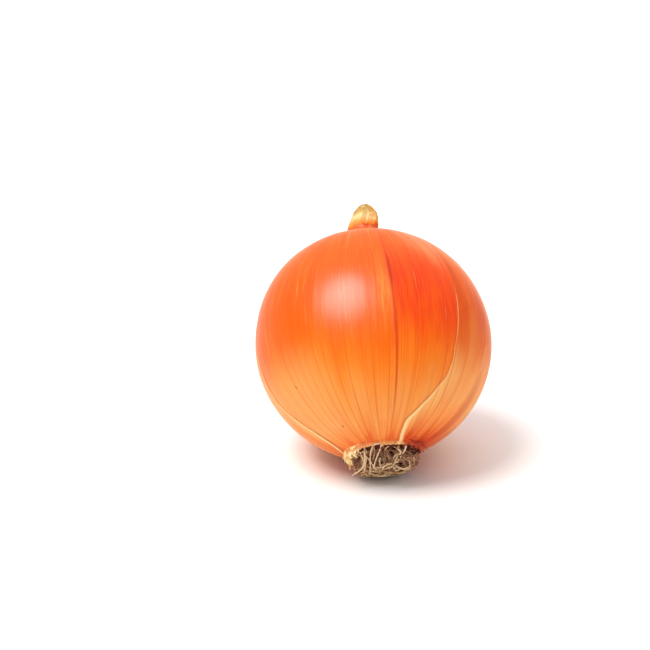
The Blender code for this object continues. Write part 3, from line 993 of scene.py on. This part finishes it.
def stray_root(draw):
    """A root that leaves the mat at its rim and ends in the air."""
    start_turn = draw.uniform(0, WHOLE_TURN)
    across = towards(start_turn) * draw.uniform(6, 10) * MM
    path = [on_plate(across, 0.5 * MM)]
    heading = start_turn + draw.uniform(-0.8, 0.8)
    bend = draw.uniform(-0.2, 0.2)
    deep = draw.uniform(0.1, 0.9)
    for step in range(ROOT_SEGMENTS):
        path.append(in_mat(across, deep) + Vector((*across, 0)) * 0.012 * max(0, step - 5))
        across = across + towards(heading) * 0.85 * MM
        heading += bend
    return path, 0.9


# The roots that show in front, each as side, front and depth below the rim in millimetres
FRONT_ROOTS = (
    ((-3.7, 8.3, 0.2), (-2.7, 12.7, 0.0), (-0.8, 13.5, -0.3), (0.4, 11.6, -0.1), (1.1, 8.7, 0.6),
     (2.3, 6.4, 1.4), (3.2, 4.1, 2.4), (2.8, 2.5, 3.4)),
    ((0.0, 12.5, 0.2), (-0.5, 10.5, 0.7), (-1.0, 8.5, 1.4), (-2.0, 6.0, 2.6), (-2.9, 4.5, 4.1),
     (-3.1, 2.5, 5.1)),
    ((-3.0, 11.5, 0.3), (-3.7, 9.0, 1.1), (-4.2, 6.0, 2.4), (-4.4, 4.0, 3.8), (-4.3, 1.5, 5.3)),
    ((-5.3, 6.0, 2.1), (-5.7, 5.0, 3.0), (-5.9, 3.5, 4.0), (-6.3, 0.5, 5.1)),
    ((-0.8, 5.0, 2.5), (-1.2, 4.0, 3.5), (-1.2, 3.0, 4.4), (-0.5, 1.5, 5.3)),
    ((-9.9, -4.0, 4.8), (-7.4, -2.5, 5.2), (-5.2, 0.0, 5.4), (-3.2, 0.5, 5.9), (-1.0, 0.5, 6.4)),
    ((-0.5, 1.5, 5.4), (0.6, 3.5, 4.8), (2.6, 4.5, 4.8), (4.5, 5.0, 4.7), (5.4, 6.0, 3.9)),
    ((8.0, 11.0, 0.9), (7.4, 9.5, 2.1), (6.3, 8.0, 3.0), (5.6, 6.0, 4.0)),
    ((-5.9, -5.0, 5.7), (-4.9, -2.5, 6.0), (-4.6, 0.0, 5.4), (-4.7, 2.5, 4.7)),
    ((3.3, 5.0, 3.4), (4.7, 8.0, 2.2), (6.0, 8.5, 2.0), (6.0, 6.5, 2.8), (4.7, 5.5, 3.4)),
)
FRONT_ROOT_RADIUS = 0.31 * MM


def front_root(places):
    """A smooth path through the places of a root that shows in front."""
    known = np.array(places) * MM
    reached = np.linspace(0, len(known) - 1, ROOT_SEGMENTS + 1)
    along = [np.interp(reached, np.arange(len(known)), known[:, axis]) for axis in (0, 1, 2)]
    line = np.column_stack((along[0], -along[1], RIM_HEIGHT - along[2]))
    line[1:-1] = (line[:-2] + 2 * line[1:-1] + line[2:]) / 4
    return [settle(Vector(place)) for place in line]


def model_root():
    """A straight root one unit long and of one unit's radius, to be copied and bent."""
    piece = add_primitive(
        bpy.ops.mesh.primitive_cylinder_add, vertices=ROOT_SIDES, radius=1, depth=ROOT_SEGMENTS,
        end_fill_type="TRIFAN",
    )
    bpy.ops.object.mode_set(mode="EDIT")
    for height in range(1 - ROOT_SEGMENTS // 2, ROOT_SEGMENTS // 2):
        bpy.ops.mesh.select_all(action="SELECT")
        bpy.ops.mesh.bisect(plane_co=(0, 0, height), plane_no=(0, 0, 1))
    bpy.ops.mesh.select_all(action="SELECT")
    bpy.ops.mesh.normals_make_consistent(inside=False)
    bpy.ops.object.mode_set(mode="OBJECT")
    return piece


def bend_root(piece, path, radius, tone, lit):
    """Lays a copy of the straight root along its path, thinner towards its tip."""
    path = [np.array(point) for point in path]
    points = points_of(piece)
    along = np.clip(points[:, 2] + ROOT_SEGMENTS / 2, 0, ROOT_SEGMENTS)
    place = np.round(along).astype(int)
    ahead = [path[min(step + 1, len(path) - 1)] - path[max(step - 1, 0)] for step in range(len(path))]
    side = np.array((1.0, 0.0, 0.0))
    sides, ups = [], []
    for direction in ahead:
        direction = direction / np.linalg.norm(direction)
        side = side - direction * side.dot(direction)
        side = side / np.linalg.norm(side)
        sides.append(side)
        ups.append(np.cross(direction, side))
    share = along / ROOT_SEGMENTS
    swollen = radius * (1.0 - 0.5 * share ** 2) * (1 + 0.14 * np.sin(along * 2.6 + tone * 20))
    path, sides, ups = np.array(path), np.array(sides), np.array(ups)
    laid = path[place] + (sides[place] * points[:, :1] + ups[place] * points[:, 1:2]) * swollen[:, None]
    move_points(piece, laid)
    for name, values in (("tone", tone), ("lit", lit), ("along", share)):
        write_attribute(piece, name, values)


# How many there are of each kind of root, and how thick they are
ROOT_KINDS = (
    (curled_root, 150, 1), (arched_root, 4, 1.05), (crossing_root, 8, 1.1), (stub_root, 36, 1.2),
    (stray_root, 18, 0.8),
)


def make_roots(material):
    """Bends a copy of one straight root for every root of each kind, and joins them."""
    straight = model_root()
    draw = random.Random(ROOT_SEED)
    bends = []
    for kind, number, thickness in ROOT_KINDS:
        for _ in range(number):
            places, lit = kind(draw)
            bends.append((places, draw.uniform(*ROOT_RADII) * thickness, draw.random(), lit))
    for places in FRONT_ROOTS:
        bends.append((front_root(places), FRONT_ROOT_RADIUS, draw.uniform(0.75, 1), 1.0))
    copies = []
    for bend in bends:
        copies.append(copy_of(straight))
        bend_root(copies[-1], *bend)
    bpy.data.objects.remove(straight)
    piece = join_pieces("roots", copies)
    lay_down(piece, material)
    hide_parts("root_tuft")


def root_paint():
    """Dry tan roots, with painted shade on those that lie deep inside the mat, and browner where they leave
    the plate.
    """
    paint = Paint(bpy.data.materials.new("root_visual"))
    grain = paint.noise(paint.place(), 2600, 3, 0.6)
    lit = paint.attribute("lit")
    foot = paint.fades(paint.attribute("along"), 0.03, 0.4) * paint.fades(lit, 0.9, 1)
    colour = paint.layers(
        ROOT_DARK,
        (paint.attribute("tone"), ROOT_PALE),
        # painted shade on the roots deep in the mat, away from the open
        (paint.fades(lit, 0.4, 0.82) * 0.9, ROOT_PAINTED_SHADE),
        (foot * 0.8, ROOT_FOOT),
        (paint.smooth(grain, 0.45, 0.7) * 0.4, ROOT_FIBRES),
    )
    return paint.finish(colour, 0.75, grain, 0.5, 0.08 * MM, specular_ior_level=0.3)


def plate_paint():
    paint = Paint(bpy.data.materials.new("root_plate_visual"))
    grain = paint.noise(paint.place(), 900, 4, 0.65)
    colour = paint.blend(paint.smooth(grain, 0.35, 0.7), PLATE_DARK, PLATE_BROWN)
    return paint.finish(colour, 0.9, grain, 0.8, 0.3 * MM, specular_ior_level=0.2)


# Torn skin round the roots

SHRED_THICKNESS = 0.12 * MM
SHRED_ROOTED = 0.3 * MM  # how far a shred's foot is sunk in the skin
STRIP_ROOTED = 0.4 * MM
SHRED_PAINTED_GLOW = 0.14  # a painted glow that lifts the thin torn skin out of its shade, as a share of its colour
SHRED_SEED = 14
SHRED_COLUMNS = 2
SHRED_ROWS = 5
STRIP_COLUMNS_PER_DEGREE = 1.1
STRIP_ROWS = 6
TORN_GIVES = 1 * MM  # how softly torn skin goes over into lying on the surface
TORN_CLEAR = 0.1 * MM


def flat_grid(across, along):
    add = bpy.ops.mesh.primitive_grid_add
    return add_primitive(add, x_subdivisions=across, y_subdivisions=along, size=1)


def model_shred():
    """A flat shred of skin, one unit wide and long, standing on its lower end."""
    piece = flat_grid(SHRED_COLUMNS, SHRED_ROWS)
    bpy.ops.object.mode_set(mode="EDIT")
    bpy.ops.mesh.select_all(action="SELECT")
    bpy.ops.transform.translate(value=(0, 0.5, 0))
    bpy.ops.object.mode_set(mode="OBJECT")
    return piece


def stand_on_rim(piece, turn, rise, out, back, tone, share):
    """Moves torn skin to its turns, and to how far out and back it stands from a rise on the bulb."""
    radius = (BULB_RADIUS + out) * math.sin(rise) + back * math.cos(rise)
    height = -(BULB_RADIUS + out) * math.cos(rise) + back * math.sin(rise)
    move_points(piece, upright(radius, turn, height))
    write_attribute(piece, "tone", tone)
    write_attribute(piece, "along", share)


def bend_shred(piece, turn, rise, width, length, flare, curl, taper, sway, tone):
    """Lays a copy of the flat shred at a place on the rim. Flare 0 stands it straight off the skin."""
    points = points_of(piece)
    share = np.clip(points[:, 1], 0, 1)
    half = points[:, 0] * width * (1 - taper * share ** 1.3)
    leaning = flare + curl * share / 2
    cup = 0.25 * width * (points[:, 0] * 2) ** 2
    out = length * share * np.cos(leaning) - SHRED_ROOTED - cup
    back = length * share * np.sin(leaning)
    angle = turn + (half + sway * length * share ** 2) / (BULB_RADIUS * math.sin(rise))
    stand_on_rim(piece, angle, rise, out, back, tone, share)


def finish_torn(name, torn, material):
    """Joins torn skin to one piece, keeps it off the floor and gives it its thickness."""
    piece = join_pieces(name, torn)
    keep_above_floor(piece)
    wall = piece.modifiers.new("wall", "SOLIDIFY")
    wall.thickness = SHRED_THICKNESS
    wall.offset = 0
    bpy.ops.object.modifier_apply(modifier=wall.name)
    lay_down(piece, material)


def make_shreds(name, kinds, material):
    """Rows of torn shreds. PALE_SHREDS and RED_SHREDS say what each kind gives."""
    flat = model_shred()
    draw = random.Random(SHRED_SEED)
    copies = []
    for number, turns, rises, widths, lengths, flares, curls, taper in kinds:
        for _ in range(number):
            copies.append(copy_of(flat))
            bend_shred(
                copies[-1], math.radians(draw.uniform(*turns)), math.radians(draw.uniform(*rises)),
                draw.uniform(*widths) * MM, draw.uniform(*lengths) * MM, draw.uniform(*flares),
                draw.uniform(*curls), taper, draw.uniform(-0.35, 0.35), draw.random(),
            )
    bpy.data.objects.remove(flat)
    finish_torn(name, copies, material)


def tear_strip(piece, span, rise, lengths, flares, seed):
    """Bends a flat grid into a torn strip of skin that stands on the rim between two turns, in degrees."""
    points = points_of(piece)
    low, high = span
    degrees = low + (points[:, 0] + 0.5) * (high - low)
    share = points[:, 1] + 0.5
    turn = np.radians(degrees)
    folds = waves(seed, (5, 9, 14), turn)
    teeth = waves(seed + 1, (23, 41, 67, 97, 139), turn)
    flutter = waves(seed + 2, (17, 29, 37), turn)
    length = np.interp(degrees, *zip(*lengths)) * MM * np.clip(0.8 + 0.4 * teeth + 0.25 * folds, 0.12, 1.7)
    leaning = np.interp(degrees, *zip(*flares)) + 0.2 * folds + 0.35 * flutter * share
    out = length * share * np.cos(leaning) - STRIP_ROOTED
    back = length * share * np.sin(leaning)
    angle = turn + 0.03 * share * waves(seed + 3, (31, 47), turn)
    tone = np.clip(0.5 + 0.5 * waves(seed + 4, (53, 89, 131, 171), turn), 0, 1)
    stand_on_rim(piece, angle, rise, out, back, tone, share)


def keep_above_floor(piece):
    """Lifts the points of an upright piece that would lie under the surface once it is laid down."""
    to_world = np.array(world_of_onion())
    points = points_of(piece)
    height = points @ to_world[2, :3] + to_world[2, 3]
    lifted = held_up(height, TORN_GIVES) - height + TORN_CLEAR
    move_points(piece, points + np.outer(lifted, to_world[2, :3]))


def make_strips(name, strips, material):
    """Torn strips of skin round the roots. COLLAR_STRIPS and FLAP_STRIPS say what each strip gives."""
    torn = []
    for span, rise, lengths, flares, seed in strips:
        across = round((span[1] - span[0]) * STRIP_COLUMNS_PER_DEGREE)
        grid = flat_grid(across, STRIP_ROWS)
        tear_strip(grid, span, math.radians(rise), lengths, flares, seed)
        torn.append(grid)
    finish_torn(name, torn, material)


# Each strip: the turns it spans, its rise, its length in millimetres and its flare at some turns, and a seed
COLLAR_STRIPS = (
    (
        (-180, 180), 18.9,
        ((-180, 1.2), (-125, 1.6), (-100, 3.6), (-70, 3.4), (-48, 2.4), (-30, 1.2), (-12, 0.6), (6, 0.9),
         (18, 1.5), (28, 0.9), (40, 0.3), (100, 0.5), (180, 1.2)),
        ((-180, -0.3), (-125, -0.7), (-90, -0.9), (-50, -0.6), (0, -0.6), (60, -0.6), (180, -0.3)), 31,
    ),
    (
        (-150, 34), 18.4,
        ((-150, 0.0), (-110, 3.0), (-85, 4.4), (-60, 3.6), (-40, 1.8), (-20, 0.6), (10, 0.8), (34, 0.0)),
        ((-150, -0.8), (-90, -1.05), (-50, -0.8), (0, -0.7), (34, -0.7)), 47,
    ),
    (
        (-120, -30), 19.4, ((-120, 0.0), (-95, 2.2), (-70, 2.6), (-50, 1.6), (-30, 0.0)),
        ((-120, -0.7), (-70, -0.6), (-30, -0.5)), 59,
    ),
)
FLAP_STRIPS = (
    (
        (-178, -88), 19.2, ((-178, 0.0), (-155, 2.6), (-128, 5.2), (-108, 3.8), (-88, 0.0)),
        ((-178, -0.5), (-128, -0.75), (-88, -0.7)), 73,
    ),
)
# Each kind: how many, turns, rises, widths, lengths, flares, curls and taper
PALE_SHREDS = (
    (26, (-180, 180), (18.3, 18.9), (0.3, 0.8), (0.5, 1.3), (-0.9, 0.2), (-0.9, 0.9), 0.8),
    (34, (-110, -40), (18.2, 19.4), (0.5, 1.2), (1.6, 3.6), (-1.3, -0.5), (-0.5, 0.5), 0.75),
    (5, (22, 30), (18.6, 19.2), (0.8, 1.4), (1.0, 1.6), (-0.6, 0.0), (-0.5, 0.5), 0.5),
)
RED_SHREDS = (
    (34, (40, 84), (18.6, 20.4), (0.4, 0.9), (0.9, 2.6), (0.4, 1.3), (-0.6, 0.6), 0.95),
    (30, (34, 104), (18.0, 18.8), (0.5, 1.2), (0.8, 2.4), (-1.1, 0.1), (-0.6, 0.6), 0.8),
)


def shred_paint(name, stops, dark):
    """Torn dry skin: a row of colours from where it grows to its edge, with darker fibres and a faint
    painted glow that lifts it out of its shade.
    """
    paint = Paint(bpy.data.materials.new(name))
    grain = paint.noise(paint.place(), 1800, 3, 0.6)
    colour = paint.layers(
        paint.ramp(paint.attribute("along") + (grain - 0.5) * 0.3, 0, 1, stops),
        (paint.smooth(paint.attribute("tone"), 0.35, 1.0) * 0.4, dark),
        (paint.smooth(grain, 0.5, 0.75) * 0.2, dark),
    )
    return paint.finish(
        colour, 0.55, grain, 0.3, 0.08 * MM, specular_ior_level=0.4,
        # a painted glow, though the skin is no lamp
        emission_color=colour, emission_strength=SHRED_PAINTED_GLOW,
    )


# The colours of each sort of torn skin from where it grows to its edge, and of its fibres
PALE_STOPS = (
    (0, (0.98, 0.46, 0.10)), (0.25, (1, 0.66, 0.24)), (0.75, (1, 0.84, 0.46)), (1, (1, 0.70, 0.32)),
)
PALE_FIBRES = (0.95, 0.55, 0.20, 1)
TAN_STOPS = (
    (0, (0.90, 0.28, 0.06)), (0.5, (0.92, 0.42, 0.12)), (0.9, (0.90, 0.55, 0.24)), (1, (0.6, 0.34, 0.13)),
)
TAN_FIBRES = (0.55, 0.22, 0.07, 1)
RED_STOPS = ((0, (0.72, 0.08, 0.02)), (0.5, (0.55, 0.05, 0.02)), (1, (0.30, 0.04, 0.02)))
RED_FIBRES = (0.16, 0.02, 0.01, 1)


# The stage

def make_floor():
    piece = add_primitive(bpy.ops.mesh.primitive_plane_add, size=FLOOR_SIZE)
    piece.name = "floor"
    paint = Paint(bpy.data.materials.new("floor_visual"))
    piece.data.materials.append(paint.finish(FLOOR_COLOUR, 0.9, specular_ior_level=0.2))


def add_sun(name, comes_from, softness, strength):
    """A far, wide softbox: soft shadows and even light over the whole floor."""
    data = bpy.data.lights.new(name, "SUN")
    data.angle = softness
    data.energy = strength
    light = bpy.data.objects.new(name, data)
    bpy.context.scene.collection.objects.link(light)
    light.rotation_euler = (-Vector(comes_from)).to_track_quat("-Z", "Y").to_euler()
    return light


def add_world():
    """Surroundings that are brighter overhead than at the horizon, and dimmer on the camera's side."""
    world = bpy.data.worlds.new("studio")
    paint = Paint(world)
    direction = paint.node("ShaderNodeTexCoord", out="Generated")
    parts = paint.node("ShaderNodeSeparateXYZ", None, {0: direction})

    def light_along(axis, span, light):
        return light[0] + paint.smooth(parts.output(axis), *span) * (light[1] - light[0])

    strength = light_along("Z", OVERHEAD_RANGE, OVERHEAD_LIGHT) * light_along("Y", FRONT_RANGE, FRONT_LIGHT)
    background = paint.node("ShaderNodeBackground", None, {"Strength": strength})
    paint.node("ShaderNodeOutputWorld", None, {"Surface": background})
    bpy.context.scene.world = world


def add_camera():
    data = bpy.data.cameras.new("camera")
    data.lens = CAMERA_LENS
    data.shift_x = -CENTRE_RIGHT_OF_MIDDLE / FRAME_PIXELS
    data.shift_y = CENTRE_BELOW_MIDDLE / FRAME_PIXELS
    data.clip_start = 0.01
    camera = bpy.data.objects.new("camera", data)
    bpy.context.scene.collection.objects.link(camera)
    centre = Vector((0, 0, BULB_RADIUS - FLAT_DEPTH))
    back = Vector((0, -math.cos(CAMERA_ELEVATION), math.sin(CAMERA_ELEVATION)))
    camera.location = centre + back * CAMERA_DISTANCE
    camera.rotation_euler = (math.pi / 2 - CAMERA_ELEVATION, 0, 0)
    bpy.context.scene.camera = camera


def main():
    bpy.context.scene.view_settings.view_transform = "Standard"
    add_camera()
    make_skin(skin_paint())
    make_plate(plate_paint())
    make_roots(root_paint())
    pale = shred_paint("pale_shred_visual", PALE_STOPS, PALE_FIBRES)
    tan = shred_paint("tan_shred_visual", TAN_STOPS, TAN_FIBRES)
    red = shred_paint("red_shred_visual", RED_STOPS, RED_FIBRES)
    make_strips("torn_collar", COLLAR_STRIPS, pale)
    make_strips("skin_flap", FLAP_STRIPS, tan)
    make_shreds("pale_shreds", PALE_SHREDS, pale)
    make_shreds("red_shreds", RED_SHREDS, red)
    make_floor()
    add_world()
    add_sun("softbox", KEY_DIRECTION, KEY_SOFTNESS, KEY_STRENGTH)
    highlight = add_sun("highlight", HIGHLIGHT_DIRECTION, HIGHLIGHT_SOFTNESS, HIGHLIGHT_STRENGTH)
    highlight.visible_diffuse = False


main()
